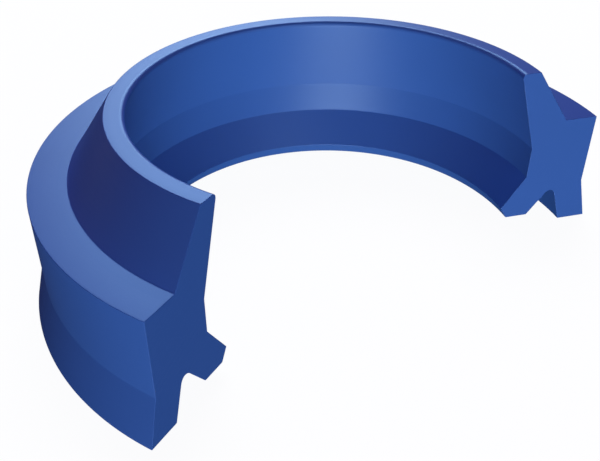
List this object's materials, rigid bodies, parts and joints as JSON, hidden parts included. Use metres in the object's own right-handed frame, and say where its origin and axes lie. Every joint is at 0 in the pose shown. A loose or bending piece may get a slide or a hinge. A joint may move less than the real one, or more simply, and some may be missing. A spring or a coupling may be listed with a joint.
{
  "type": "wiper seal",
  "caption": "Blue polyurethane rod wiper seal with a raised wiping lip, an inner sealing lip and a flared static lip, cut open to show its section.",
  "frame": {"origin": "on the ring's axis, in the plane of the static lip's foot, on which the ring rests", "axes": "+Z along the rod axis, towards the wiping lip; the cut-out sector is centred on -Y, so the ring is the same on both sides of the YZ plane"},
  "size_m": [0.0328, 0.0227, 0.01],
  "materials": {
    "blue_polyurethane": "satin"
  },
  "bodies": {
    "root": {"wiper_ring": "blue_polyurethane"}
  },
  "joints": []
}
